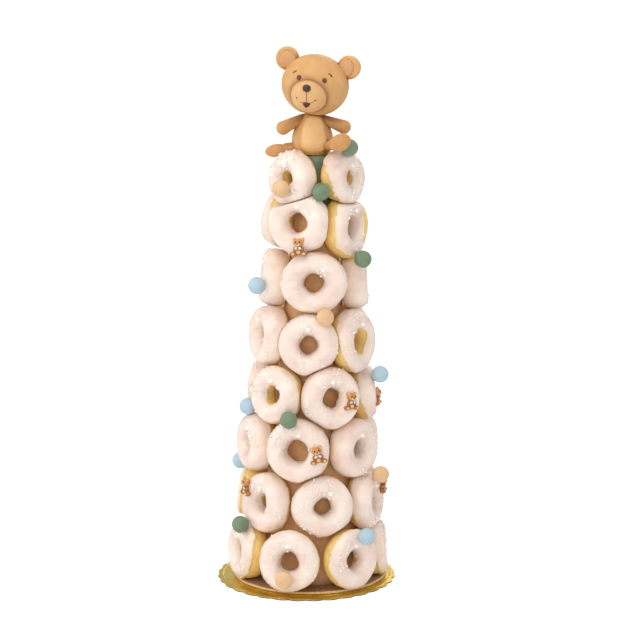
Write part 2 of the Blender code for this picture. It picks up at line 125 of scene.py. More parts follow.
# The seated bear. Places are right, back and up from the middle of the cone's tip, in mm.
HEAD_CENTRE = (-0.9, -6.0, 75.5)
HEAD_RADII = (36.6, 32.5, 33.0)
HEAD_ROLL = 9
HEAD_YAW = 12
TORSO_CENTRE = (-3.9, -1.0, 21.5)
TORSO_RADII = (21.8, 18.5, 27.0)
TORSO_NARROWING = 0.26
NECK_HEIGHT = 44.5
LIMBS = {
    "bear_arm_left": ((-15.0, -2.0, 39.5), (-35.5, -9.0, 29.5), 4.8, 7.6),
    "bear_arm_right": ((7.5, -2.0, 38.5), (30.0, -9.0, 30.5), 4.8, 7.6),
    "bear_leg_left": ((-16.0, -1.0, 8.5), (-32.0, 0.5, 6.5), 5.6, 6.0),
    "bear_leg_right": ((10.5, -10.0, 9.5), (23.5, -44.0, 16.0), 5.2, 5.8),
}
FEET = {
    "bear_leg_left": ((-42.5, 1.5, 4.0), (13.0, 7.2, 7.2), -7),
    "bear_leg_right": ((25.5, -52.5, 17.5), (11.8, 4.6, 9.2), -28),
}

# ---- the glaze on each doughnut ------------------------------------------------------------

GLAZE_THICKNESS = 0.0012
GLAZE_LIP = 0.0018              # the width over which its edge rounds down to the dough
GLAZE_BEAD = 0.0003             # how far the bead just inside its edge stands up
GLAZE_CRUST = 0.0027            # how coarse its rough crust is
GLAZE_THIN_EDGE = 0.0020        # the width over which its edge looks thin

# Where the glaze ends, as rolls round the dough in degrees: 0 is the outermost line, less is
# further back and 180 is the narrowest line of the hole. Outer edge, hole edge, then the way
# the outer edge draws back to the front on one side: by how much, and at which turn.
Coat = namedtuple("Coat", "outer hole draw_back toward ragged")
USUAL_COAT = Coat(-16, 190, 10, 270, 1.0)
COATS = {
    "doughnut_1_1": Coat(8, 188, 18, 280, 1.0), "doughnut_1_2": Coat(6, 194, 14, 205, 1.0),
    "doughnut_1_3": Coat(2, 190, 14, 250, 1.2), "doughnut_1_6": Coat(0, 172, 26, 330, 1.0),
    "doughnut_2_1": Coat(-18, 196, 12, 215, 1.0), "doughnut_2_2": Coat(-14, 200, 6, 250, 1.0),
    "doughnut_2_3": Coat(-26, 172, 8, 210, 1.0), "doughnut_2_6": Coat(34, 190, 8, 0, 1.2),
    "doughnut_3_1": Coat(-30, 176, 8, 0, 1.0), "doughnut_3_2": Coat(-10, 186, 10, 215, 1.0),
    "doughnut_3_3": Coat(-44, 214, 4, 270, 0.8), "doughnut_4_1": Coat(-12, 160, 22, 62, 1.0),
    "doughnut_4_2": Coat(-16, 184, 8, 290, 1.0), "doughnut_4_3": Coat(-16, 190, 26, 262, 1.2),
    "doughnut_5_1": Coat(-30, 176, 10, 320, 1.0), "doughnut_5_2": Coat(-12, 188, 16, 358, 1.0),
    "doughnut_5_3": Coat(-16, 144, 34, 214, 1.0), "doughnut_6_1": Coat(-60, 205, 4, 270, 0.8),
    "doughnut_6_2": Coat(-6, 186, 8, 215, 1.3), "doughnut_6_3": Coat(-60, 205, 4, 270, 0.8),
    "doughnut_7_1": Coat(-12, 182, 8, 250, 1.1), "doughnut_7_2": Coat(40, 196, 68, 345, 1.5),
    "doughnut_7_3": Coat(34, 190, 8, 180, 1.2), "doughnut_7_4": Coat(-22, 190, 34, 50, 1.2),
    "doughnut_8_1": Coat(-22, 156, 10, 350, 2.6), "doughnut_8_2": Coat(-24, 158, 30, 232, 2.2),
}

# Sugar pearls lie in patches: the turn and roll of the middle, how far they spread in degrees
# of turn, and how many there are.
Patch = namedtuple("Patch", "turn roll spread count")
PATCHES = {
    "doughnut_7_1": (Patch(30, 80, 60, 14),),
    "doughnut_7_2": (Patch(120, 100, 50, 18), Patch(280, 80, 40, 10)),
    "doughnut_6_2": (Patch(55, 120, 32, 26), Patch(150, 60, 40, 10)),
    "doughnut_5_2": (Patch(105, 90, 45, 20), Patch(330, 60, 50, 14)),
    "doughnut_5_3": (Patch(130, 70, 50, 20),),
    "doughnut_4_1": (Patch(150, 70, 60, 26), Patch(60, 60, 40, 12)),
    "doughnut_4_2": (Patch(110, 80, 50, 34), Patch(200, 60, 30, 12)),
    "doughnut_3_2": (Patch(120, 80, 50, 34), Patch(20, 70, 30, 14)),
    "doughnut_2_2": (Patch(150, 70, 60, 44), Patch(80, 90, 40, 16), Patch(240, 60, 40, 14)),
    "doughnut_1_1": (Patch(120, 80, 60, 22), Patch(330, 50, 40, 18)),
    "doughnut_1_2": (Patch(160, 80, 60, 26),),
}
FINE_PEARL_RADIUS = 0.00105
FINE_PEARL_STAND = 0.6          # how far its middle stands off the glaze, as a share of that
PATCH_ROLL_SPREAD = 28          # how far a patch spreads across the dough, in degrees
OUTER_ROOM, HOLE_ROOM = 0.25, 0.3   # how far pearls keep off the glaze's edges, in radians
PEARL_MOVE_LIMIT = 0.0009       # a pearl that is pressed further than this is left out


# ---- small helpers -------------------------------------------------------------------------

def add_node(tree, kind, inputs=None, **settings):
    """A shader node with its settings, and its inputs set to values or linked to sockets."""
    new = tree.nodes.new(kind)
    for name, value in settings.items():
        setattr(new, name, value)
    for name, value in (inputs or {}).items():
        if isinstance(value, bpy.types.NodeSocket):
            tree.links.new(value, new.inputs[name])
        else:
            new.inputs[name].default_value = value
    return new


def linear(red, green, blue):
    """A screen colour of 0 to 255 as the scene-linear colour a shader takes."""
    parts = []
    for value in (red, green, blue):
        value /= 255
        parts.append(value / 12.92 if value <= 0.04045 else ((value + 0.055) / 1.055) ** 2.4)
    return (*parts, 1.0)


def show(name, mesh, material):
    """Links a mesh to the scene as a smooth piece that rides with the tower."""
    mesh.shade_smooth()
    for one in (material if isinstance(material, list) else [material]):
        mesh.materials.append(one)
    piece = bpy.data.objects.new(name, mesh)
    bpy.context.scene.collection.objects.link(piece)
    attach(piece, "root")
    return piece


def mesh_from(name, points, faces):
    mesh = bpy.data.meshes.new(name)
    mesh.from_pydata(np.asarray(points).reshape(-1, 3).tolist(), [], faces.tolist())
    return mesh


def ring_mesh(name, points):
    """A closed mesh from a grid of points that joins up with itself both ways."""
    rows, columns = points.shape[:2]
    here = np.arange(rows * columns).reshape(rows, columns)
    below = np.roll(here, -1, 0)
    faces = np.stack((here, below, np.roll(below, -1, 1), np.roll(here, -1, 1)), axis=-1)
    return mesh_from(name, points, faces.reshape(-1, 4))


def set_field(mesh, name, values):
    """Keeps one number for each point, for a material to read."""
    field = mesh.attributes.new(name, "FLOAT", "POINT")
    field.data.foreach_set("value", np.asarray(values, dtype=np.float32).ravel())


def bmesh_to_mesh(name, bm):
    mesh = bpy.data.meshes.new(name)
    bm.to_mesh(mesh)
    bm.free()
    return mesh


def show_bear(name, bm, material):
    """Links a finished bmesh as a piece of a bear."""
    return show(name, bmesh_to_mesh(name, bm), material)


def lump(centre, radii, turned=Matrix.Identity(3), sides=40, rings=24, bm=None):
    """An ellipsoid, in a mesh of its own or added to the one given."""
    bm = bm or bmesh.new()
    made = bmesh.ops.create_uvsphere(bm, u_segments=sides, v_segments=rings, radius=1.0)
    for vertex in made["verts"]:
        stretched = Vector(size * value for size, value in zip(radii, vertex.co))
        vertex.co = Vector(centre) + turned @ stretched
    return bm


def in_metres(sizes):
    return [size / 1000 for size in sizes]


# ---- shared effects ------------------------------------------------------------------------

def new_group(name, inputs, outputs):
    """A node group with its sockets made: (name, kind, default) for each input."""
    group = bpy.data.node_groups.new(name, "ShaderNodeTree")
    for label, kind, default in inputs:
        socket = group.interface.new_socket(label, in_out="INPUT", socket_type=kind)
        socket.default_value = default
    for label, kind in outputs:
        group.interface.new_socket(label, in_out="OUTPUT", socket_type=kind)
    return group, group.nodes.new("NodeGroupInput"), group.nodes.new("NodeGroupOutput")


def make_mottle():
    """Two colours mixed in soft patches, as in kneaded paste, dough or poured glaze."""
    group, given, result = new_group(
        "Mottle",
        (("Color A", "NodeSocketColor", (1, 1, 1, 1)), ("Color B", "NodeSocketColor", (0, 0, 0, 1)),
         ("Patch Size", "NodeSocketFloat", 80.0), ("Contrast", "NodeSocketFloat", 1.0)),
        (("Color", "NodeSocketColor"), ("Mask", "NodeSocketFloat")))
    place = add_node(group, "ShaderNodeTexCoord").outputs["Object"]
    noise = add_node(group, "ShaderNodeTexNoise", {
        "Vector": place, "Scale": given.outputs["Patch Size"], "Detail": 4.0, "Roughness": 0.6})
    centred = add_node(group, "ShaderNodeMath", {0: noise.outputs["Fac"], 1: 0.5},
                       operation="SUBTRACT")
    mask = add_node(group, "ShaderNodeMath", {
        0: centred.outputs[0], 1: given.outputs["Contrast"], 2: 0.5},
        operation="MULTIPLY_ADD", use_clamp=True)
    mixed = add_node(group, "ShaderNodeMix", {
        "Factor": mask.outputs[0], "A": given.outputs["Color A"],
        "B": given.outputs["Color B"]}, data_type="RGBA")
    group.links.new(mixed.outputs["Result"], result.inputs["Color"])
    group.links.new(mask.outputs[0], result.inputs["Mask"])
    return group


def make_skin():
    """Fine relief of a soft food surface: slow unevenness with a close grain on it."""
    group, given, result = new_group(
        "Skin Relief",
        (("Slow Scale", "NodeSocketFloat", 160.0), ("Grain Scale", "NodeSocketFloat", 900.0),
         ("Grain Share", "NodeSocketFloat", 0.3)),
        (("Height", "NodeSocketFloat"),))
    place = add_node(group, "ShaderNodeTexCoord").outputs["Object"]
    slow = add_node(group, "ShaderNodeTexNoise", {
        "Vector": place, "Scale": given.outputs["Slow Scale"], "Detail": 3.0})
    grain = add_node(group, "ShaderNodeTexNoise", {
        "Vector": place, "Scale": given.outputs["Grain Scale"], "Detail": 2.0})
    height = add_node(group, "ShaderNodeMath", {
        0: grain.outputs["Fac"], 1: given.outputs["Grain Share"], 2: slow.outputs["Fac"]},
        operation="MULTIPLY_ADD")
    group.links.new(height.outputs[0], result.inputs["Height"])
    return group


def make_pores():
    """Small open pores scattered over a crumb or a foam: a mask that is 1 inside a pore."""
    group, given, result = new_group(
        "Pores",
        (("Scale", "NodeSocketFloat", 500.0), ("Width", "NodeSocketFloat", 0.25)),
        (("Mask", "NodeSocketFloat"),))
    place = add_node(group, "ShaderNodeTexCoord").outputs["Object"]
    cells = add_node(group, "ShaderNodeTexVoronoi", {
        "Vector": place, "Scale": given.outputs["Scale"]})
    mask = add_node(group, "ShaderNodeMapRange", {
        "Value": cells.outputs["Distance"], "From Min": 0.0, "From Max": given.outputs["Width"],
        "To Min": 1.0, "To Max": 0.0})
    group.links.new(mask.outputs["Result"], result.inputs["Mask"])
    return group


MOTTLE = make_mottle()
SKIN = make_skin()
PORES = make_pores()


def use(tree, group, inputs):
    return add_node(tree, "ShaderNodeGroup", inputs, node_tree=group)


def start_material(name, **plain):
    """A material with its Principled shader, whose plain numbers are set on its sockets."""
    material = bpy.data.materials.new(name)
    material.use_nodes = True
    tree = material.node_tree
    shader = tree.nodes["Principled BSDF"]
    for label, value in plain.items():
        shader.inputs[label.replace("_", " ")].default_value = value
    return material, tree, shader


def blend_colour(tree, factor, first, second):
    return add_node(tree, "ShaderNodeMix", {"Factor": factor, "A": first, "B": second},
                    data_type="RGBA").outputs["Result"]


def relief(tree, shader, height, strength, depth):
    bump = add_node(tree, "ShaderNodeBump", {
        "Height": height, "Strength": strength, "Distance": depth})
    tree.links.new(bump.outputs["Normal"], shader.inputs["Normal"])


def skin_relief(tree, shader, slow, grain, share, strength, depth):
    skin = use(tree, SKIN, {"Slow Scale": slow, "Grain Scale": grain, "Grain Share": share})
    relief(tree, shader, skin.outputs["Height"], strength, depth)


def mottled_material(name, light, dark, patch, contrast, rough, **plain):
    """A material in two colours mixed in patches, which also vary its roughness."""
    material, tree, shader = start_material(name, **plain)
    mottle = use(tree, MOTTLE, {"Color A": linear(*light), "Color B": linear(*dark),
                                "Patch Size": patch, "Contrast": contrast})
    tree.links.new(mottle.outputs["Color"], shader.inputs["Base Color"])
    span = add_node(tree, "ShaderNodeMapRange", {
        "Value": mottle.outputs["Mask"], "To Min": rough[0], "To Max": rough[1]})
    tree.links.new(span.outputs["Result"], shader.inputs["Roughness"])
    return material, tree, shader


def lay_over(tree, shader, mask, colour):
    """Lays one more colour over the base colour, where its mask is."""
    base = shader.inputs["Base Color"]
    tree.links.new(blend_colour(tree, mask, base.links[0].from_socket, linear(*colour)), base)


def field_mask(tree, name):
    return add_node(tree, "ShaderNodeAttribute", attribute_name=name).outputs["Fac"]


def pore_mask(tree, scale, width):
    return use(tree, PORES, {"Scale": scale, "Width": width}).outputs["Mask"]


def scaled(tree, value, share):
    return add_node(tree, "ShaderNodeMath", {0: value, 1: share}, operation="MULTIPLY").outputs[0]


# ---- materials -----------------------------------------------------------------------------

PORE_SHARE = 0.35               # how much of a pore's colour shows in it


def make_glaze():
    """Warm white sugar glaze, creamier where it is thin at its edges."""
    material, tree, shader = mottled_material(
        "sugar_glaze", (251, 236, 226), (241, 214, 204), 45.0, 3.0, (0.30, 0.42),
        Subsurface_Weight=0.25, Subsurface_Scale=0.004, Subsurface_Radius=(1.0, 0.7, 0.45),
        Coat_Weight=0.35, Coat_Roughness=0.22)
    lay_over(tree, shader, field_mask(tree, "thin"), (250, 222, 160))
    skin_relief(tree, shader, 230.0, 1500.0, 0.10, 0.35, 0.0008)
    return material


def make_dough():
    """Pale golden fried dough with a fine open crumb, and painted shade over its back and where it
    is pressed against its neighbours.
    """
    material, tree, shader = mottled_material(
        "golden_dough", (252, 224, 150), (238, 198, 110), 70.0, 2.6, (0.52, 0.68),
        Subsurface_Weight=0.2, Subsurface_Scale=0.004, Subsurface_Radius=(1.0, 0.6, 0.2))
    pores = scaled(tree, pore_mask(tree, 620.0, 0.30), PORE_SHARE)
    lay_over(tree, shader, pores, (206, 152, 72))
    # Painted shade: darker over the back, which faces the cone, and where the dough is pressed.
    lay_over(tree, shader, field_mask(tree, "crease"), (222, 164, 88))
    skin_relief(tree, shader, 260.0, 1100.0, 0.5, 0.6, 0.0010)
    return material


def make_pearl():
    """White sugar pearl."""
    return mottled_material(
        "sugar_pearl", (255, 255, 254), (253, 249, 245), 400.0, 2.0, (0.18, 0.30),
        Subsurface_Weight=0.2, Subsurface_Scale=0.001, Coat_Weight=0.5, Coat_Roughness=0.1)[0]


def make_fondant(name, light, dark, rough=0.5, patch=90.0, shade_colour=None):
    """Satin sugar paste in one colour, with the faint patches of kneading and, if a darker colour
    is given, painted shade in it where the piece lies close to other pieces.
    """
    material, tree, shader = mottled_material(
        name, light, dark, patch, 2.0, (rough - 0.05, rough + 0.07), Subsurface_Weight=0.08,
        Subsurface_Scale=0.002, Coat_Weight=0.12, Coat_Roughness=0.35)
    if shade_colour:
        # Painted shade where the piece lies close to other pieces.
        lay_over(tree, shader, field_mask(tree, "crease"), shade_colour)
    skin_relief(tree, shader, 240.0, 2200.0, 0.35, 0.25, 0.0006)
    return material


def make_gold_foil():
    """Gold foil on card, brushed thin and duller in places."""
    material, tree, shader = mottled_material(
        "gold_foil", (248, 224, 122), (218, 182, 62), 45.0, 3.0, (0.24, 0.40), Metallic=1.0)
    skin_relief(tree, shader, 320.0, 2600.0, 0.25, 0.3, 0.0004)
    return material


def make_card_edge():
    """Grey card, seen where the board is cut."""
    return mottled_material("cut_card", (132, 112, 92), (92, 76, 60), 500.0, 3.0, (0.7, 0.85))[0]


def make_cream_edge():
    """The disc's cream rim."""
    material, tree, shader = mottled_material(
        "cream_rim", (238, 214, 162), (208, 176, 120), 300.0, 3.0, (0.55, 0.7))
    skin_relief(tree, shader, 600.0, 2000.0, 0.5, 0.5, 0.0006)
    return material


def make_speckled_top():
    """Mauve brown top of the disc, speckled with light and dark grains."""
    material, tree, shader = mottled_material(
        "speckled_disc", (176, 140, 106), (142, 108, 78), 120.0, 2.5, (0.65, 0.8))
    lay_over(tree, shader, pore_mask(tree, 700.0, 0.30), (88, 58, 46))
    pale = pore_mask(tree, 520.0, 0.24)
    lay_over(tree, shader, pale, (226, 200, 180))
    relief(tree, shader, pale, 0.5, 0.0004)
    return material


def make_cone_foam():
    """Tan cone, matt and close-grained."""
    material, tree, shader = mottled_material(
        "tan_cone", (236, 194, 146), (214, 166, 118), 60.0, 2.2, (0.7, 0.85),
        Subsurface_Weight=0.05, Subsurface_Scale=0.002)
    pores = pore_mask(tree, 420.0, 0.35)
    lay_over(tree, shader, scaled(tree, pores, PORE_SHARE), (180, 128, 84))
    relief(tree, shader, pores, -0.4, 0.0005)
    return material


def make_stage():
    """Plain pale floor, seen a little brighter than it is lit."""
    material, tree, shader = start_material(
        "pale_floor", Roughness=0.9, Base_Color=(0.95, 0.95, 0.95, 1.0),
        Emission_Color=(1.0, 1.0, 1.0, 1.0))
    seen = add_node(tree, "ShaderNodeLightPath").outputs["Is Camera Ray"]
    tree.links.new(scaled(tree, seen, FLOOR_GLOW), shader.inputs["Emission Strength"])
    return material


# ---- the cone and what it stands on --------------------------------------------------------

def axis_at(height):
    return Vector((AXIS_START + AXIS_LEAN * height, 0.0, height))


def heading(bearing):
    turn = math.radians(bearing)
    return Vector((math.sin(turn), -math.cos(turn), 0.0))


def cone_radius(height):
    return CONE_BASE_RADIUS - CONE_TAPER * height


Plane = namedtuple("Plane", "point normal")


def cone_face(height, facing):
    """The cone's surface on one heading: a point on it and the way it faces."""
    rise = Vector((AXIS_LEAN, 0.0, 1.0)) - CONE_TAPER * facing
    right = Vector((0.0, 0.0, 1.0)).cross(facing)
    return Plane(axis_at(height) + facing * cone_radius(height), right.cross(rise).normalized())


def floor_height():
    return BOARD_THICKNESS + GAP + DISC_THICKNESS + GAP


def turned_shape(name, stations, sides=128, centre=lambda height: (0.0, 0.0), reach=None):
    """A closed round shape from (radius, height) stations, from the middle of the underside
    round to the middle of the top. reach stretches a radius on each heading."""
    turns = np.linspace(0, 2 * np.pi, sides, endpoint=False)
    rings = []
    for radius, height in stations[1:-1]:
        across, along = centre(height)
        spread = radius * (reach(turns, radius) if reach else np.ones(sides))
        rings.append(np.stack((across + spread * np.cos(turns), along + spread * np.sin(turns),
                               np.full(sides, height)), axis=-1))
    points = np.concatenate(rings)
    low, high = (np.array([[*centre(stations[end][1]), stations[end][1]]]) for end in (0, -1))
    here = np.arange(len(points)).reshape(len(rings), sides)
    beside = np.roll(here, -1, 1)
    sides_faces = np.stack((here[:-1], beside[:-1], beside[1:], here[1:]), axis=-1)
    mesh = bpy.data.meshes.new(name)
    faces = sides_faces.reshape(-1, 4).tolist()
    bottom, top = len(points), len(points) + 1
    faces += [(bottom, b, a) for a, b in zip(here[0].tolist(), beside[0].tolist())]
    faces += [(top, a, b) for a, b in zip(here[-1].tolist(), beside[-1].tolist())]
    mesh.from_pydata(np.concatenate((points, low, high)).tolist(), [], faces)
    return mesh


def scalloped(turns, radius):
    """The card's outline: bulges between notches, fading out towards its middle."""
    bulge = np.abs(np.sin(BOARD_SCALLOPS * turns / 2)) ** 0.8
    fade = np.clip((radius / BOARD_RADIUS - 0.9) / 0.1, 0, 1)
    return 1 - BOARD_SCALLOP_DEPTH / BOARD_RADIUS * (1 - bulge) * fade


def make_board(finishes):
    """Scalloped card: a grey core, and a gold face with an embossed ring and a soft edge."""
    rim = BOARD_RADIUS - 0.0003
    core = turned_shape("board_card", (
        (0.0, 0.0), (rim - 0.0006, 0.0), (rim - 0.0001, 0.0003), (rim - 0.0001, 0.0013),
        (rim - 0.0008, 0.0016), (0.0, 0.0016)), sides=768, reach=scalloped)
    top = BOARD_THICKNESS
    face = turned_shape("board_foil", (
        (0.0, 0.0014), (rim - 0.0010, 0.0014), (rim - 0.0001, 0.00135), (rim, 0.0015),
        (rim - 0.0004, top - 0.00005), (rim - 0.0012, top), (rim - 0.0028, top - 0.0001),
        (0.0958, top - 0.0001), (0.0953, top + 0.0002), (0.0947, top + 0.0003),
        (0.0941, top + 0.0002), (0.0936, top), (0.0930, top), (0.09, top), (0.05, top),
        (0.0, top)), sides=768, reach=scalloped)
    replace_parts(show("board_card", core, finishes["card"]), "board")
    show("board_foil", face, finishes["gold"])


def uneven_rim(turns, _):
    """The disc's outline: the same slight waves at every radius."""
    return (1 + 0.0016 * np.sin(7 * turns + 1) + 0.0012 * np.sin(16 * turns)
            + 0.0008 * np.sin(37 * turns + 2))


def make_disc(finishes):
    """The cone's own disc: a cream rim round a speckled top."""
    low = BOARD_THICKNESS + GAP
    high = low + DISC_THICKNESS
    middle = lambda height: DISC_CENTRE
    rim = DISC_RADIUS
    body = turned_shape("disc_rim", (
        (0.0, low), (rim - 0.0010, low), (rim - 0.0003, low + 0.0006),
        (rim - 0.0003, high - 0.0006), (rim - 0.0008, high - 0.0001), (rim - 0.0018, high),
        (rim - 0.0030, high - 0.0004), (0.0, high - 0.0004)),
        sides=256, centre=middle, reach=uneven_rim)
    top = turned_shape("disc_top", (
        (0.0, low + 0.0005), (rim - 0.0034, low + 0.0005), (rim - 0.0020, high - 0.0005),
        (rim - 0.0026, high - 0.0001), (rim - 0.0040, high), (0.06, high), (0.0, high)),
        sides=256, centre=middle, reach=uneven_rim)
    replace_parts(show("disc_rim", body, finishes["cream"]), "disc")
    show("disc_top", top, finishes["speckled"])


CAP_BOTTOM = 0.420              # where the green fondant over the cone's tip ends


def make_cone(finishes):
    """The tan cone, and the green fondant cap that covers its tip."""
    middle = lambda height: axis_at(height)[:2]
    bottom = floor_height()
    heights = np.linspace(bottom, CAP_BOTTOM + 0.01, 40)
    inset = lambda height: 0.0008 if height > CAP_BOTTOM else 0.0
    stations = [(0.0, bottom)] + [(cone_radius(h) - inset(h), h) for h in heights]
    stations.append((0.0, heights[-1]))
    cone = turned_shape("cone", stations, sides=96, centre=middle)
    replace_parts(show("cone", cone, finishes["cone"]), "cone")
    tip = cone_radius(CONE_HEIGHT)
    stations = [(0.0, CAP_BOTTOM), (cone_radius(CAP_BOTTOM) - 0.0006, CAP_BOTTOM),
                (cone_radius(CAP_BOTTOM) + 0.0002, CAP_BOTTOM + 0.0008)]
    stations += [(cone_radius(h), h) for h in np.linspace(CAP_BOTTOM + 0.003,
                                                          CONE_HEIGHT - CONE_TIP_ROUNDING, 12)]
    for step in np.linspace(15, 90, 6):
        angle = math.radians(step)
        stations.append((tip - CONE_TIP_ROUNDING * (1 - math.cos(angle)),
                         CONE_HEIGHT - CONE_TIP_ROUNDING * (1 - math.sin(angle))))
    stations.append((0.0, CONE_HEIGHT))
    show("cone_cap", turned_shape("cone_cap", stations, sides=96, centre=middle),
         finishes["green"])


# ---- doughnuts -----------------------------------------------------------------------------

Doughnut = namedtuple("Doughnut", "name tier centre right up out height oval thickness waves")


def lay_out_doughnuts():
    """Sets each doughnut against the cone: its centre, its own directions and unevenness."""
    doughnuts = []
    for tier, row in enumerate(TIERS, start=1):
        for place, (bearing, height, across, oval) in enumerate(row, start=1):
            draw = random.Random(100 * tier + place)
            surface, out = cone_face(height / 1000, heading(bearing))
            thickness = DOUGHNUT_THICKNESS * draw.uniform(0.96, 1.04)
            askew, stand_off = ASKEW.get((tier, place), (0, 0))
            centre = surface + out * (thickness / 2 - BACK_PRESS + stand_off / 1000)
            right = Vector((0.0, 0.0, 1.0)).cross(out).normalized()
            tip = Matrix.Rotation(math.radians(draw.uniform(-2.5, 2.5)), 3, right)
            swing = Matrix.Rotation(math.radians(draw.uniform(-3.0, 3.0) + askew), 3, "Z")
            out = swing @ tip @ out
            right = Vector((0.0, 0.0, 1.0)).cross(out).normalized()
            waves = tuple((count, draw.uniform(0.006, 0.018), draw.uniform(0, 2 * math.pi))
                          for count in (2, 3, 4))
            doughnuts.append(Doughnut(f"doughnut_{tier}_{place}", tier, centre, right,
                                      out.cross(right), out, across / 1000, oval, thickness,
                                      waves))
    return doughnuts


def on_doughnut(doughnut, turns, rolls, inset=0.0):
    """Points of the doughnut's form. Turns go round the hole from the right, rolls go round
    the dough from its outermost line over the front, and inset is the depth below it."""
    swell = 1 + sum(size * np.cos(count * turns + start)
                    for count, size, start in doughnut.waves)
    power = 2 / DOUGH_FULLNESS
    across = np.sign(np.cos(rolls)) * np.abs(np.cos(rolls)) ** power * (DOUGH_WIDTH / 2 - inset)
    depth = (np.sign(np.sin(rolls)) * np.abs(np.sin(rolls)) ** power
             * (doughnut.thickness / 2 - inset))
    radius = (doughnut.height - DOUGH_WIDTH) / 2 * swell + across
    return (np.array(doughnut.centre) + depth[..., None] * np.array(doughnut.out)
            + (radius * np.cos(turns) * doughnut.oval)[..., None] * np.array(doughnut.right)
            + (radius * np.sin(turns))[..., None] * np.array(doughnut.up))


def own_space(doughnut, doughnuts):
    """The planes that part a doughnut from its neighbours, the cone and the disc."""
    level = doughnut.centre.z
    away = doughnut.centre - axis_at(level)
    surface, normal = cone_face(level, Vector((away.x, away.y, 0.0)).normalized())
    planes = [Plane(surface + normal * GAP, normal),
              Plane(Vector((0.0, 0.0, floor_height())), Vector((0.0, 0.0, 1.0)))]
    for other in doughnuts:
        between = other.centre - doughnut.centre
        if other is doughnut or between.length > NEIGHBOUR_REACH:
            continue
        lap = TOP_LAP if len(TIERS) in (doughnut.tier, other.tier) else LAP
        toward = between.normalized()
        front = (doughnut.out + other.out).normalized()
        normal = -(toward - front * (lap * toward.z)).normalized()
        share = doughnut.height / (doughnut.height + other.height)
        planes.append(Plane(doughnut.centre + between * share + normal * GAP / 2, normal))
    return planes


PRESS_SOFTNESS = 0.0010


def press(points, planes, spare=0.0):
    """Flattens what passes a plane onto it, with soft shoulders. Also gives how far each
    point moved."""
    moved = np.zeros(points.shape[:-1])
    for plane in planes:
        normal = np.array(plane.normal)
        depth = (points - np.array(plane.point)) @ normal - spare
        shift = (np.sqrt(depth ** 2 + PRESS_SOFTNESS ** 2) - depth) / 2
        points = points + shift[..., None] * normal
        moved += shift
    return points, moved


def ripple(draw, counts, size):
    """A wavy line round the hole: a function of turn, from a few seeded waves."""
    waves = [(count, size * draw.uniform(0.4, 1.0) / math.sqrt(count), draw.uniform(0, 2 * math.pi))
             for count in counts]
    return lambda turns: sum(high * np.sin(count * turns + start) for count, high, start in waves)


def coat_of(doughnut):
    """The glaze's two edges as functions of turn, in radians of roll."""
    coat = COATS.get(doughnut.name, USUAL_COAT)
    draw = random.Random("coat " + doughnut.name)
    shift = 0.0 if doughnut.name in COATS else draw.uniform(-14, 14)
    slow = ripple(draw, (2, 3, 5), 7.0 * coat.ragged)
    quick = ripple(draw, (9, 13, 19, 27), 6.0 * coat.ragged)
    nubs = ripple(draw, (31, 41), 12.0)
    inner = ripple(draw, (2, 3, 4, 7), 9.0)
    toward = math.radians(coat.toward)

    def outer(turns):
        drawn = coat.draw_back * np.maximum(np.cos(turns - toward), -0.3)
        return np.radians(coat.outer + shift + drawn + slow(turns) + quick(turns) + nubs(turns))

    def hole(turns):
        return np.radians(coat.hole + inner(turns))
    return outer, hole


DOUGH_TURNS, DOUGH_ROLLS = 80, 32
GLAZE_TURNS, GLAZE_ROLLS, GLAZE_BACKS = 120, 40, 8


def make_dough_ring(doughnut, planes, material):
    turns, rolls = np.meshgrid(np.linspace(0, 2 * np.pi, DOUGH_TURNS, endpoint=False),
                               np.linspace(0, 2 * np.pi, DOUGH_ROLLS, endpoint=False),
                               indexing="ij")
    draw = random.Random("dough " + doughnut.name)
    uneven = ripple(draw, (5, 8, 13), 0.00035)
    inset = GLAZE_THICKNESS + uneven(turns) * np.cos(2 * rolls)
    points, moved = press(on_doughnut(doughnut, turns, rolls, inset), planes, spare=0.0004)
    mesh = ring_mesh(doughnut.name + "_dough", points)
    # Painted shade: the back half, which faces the cone, and what is pressed flat are marked to be
    # darker.
    back = np.clip(-np.sin(rolls) * 0.9 - 0.15, 0, 1)
    set_field(mesh, "crease", np.clip(back + moved / 0.004, 0, 1) * 0.8)
    piece = show(doughnut.name + "_dough", mesh, material)
    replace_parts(piece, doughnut.name)
    return piece


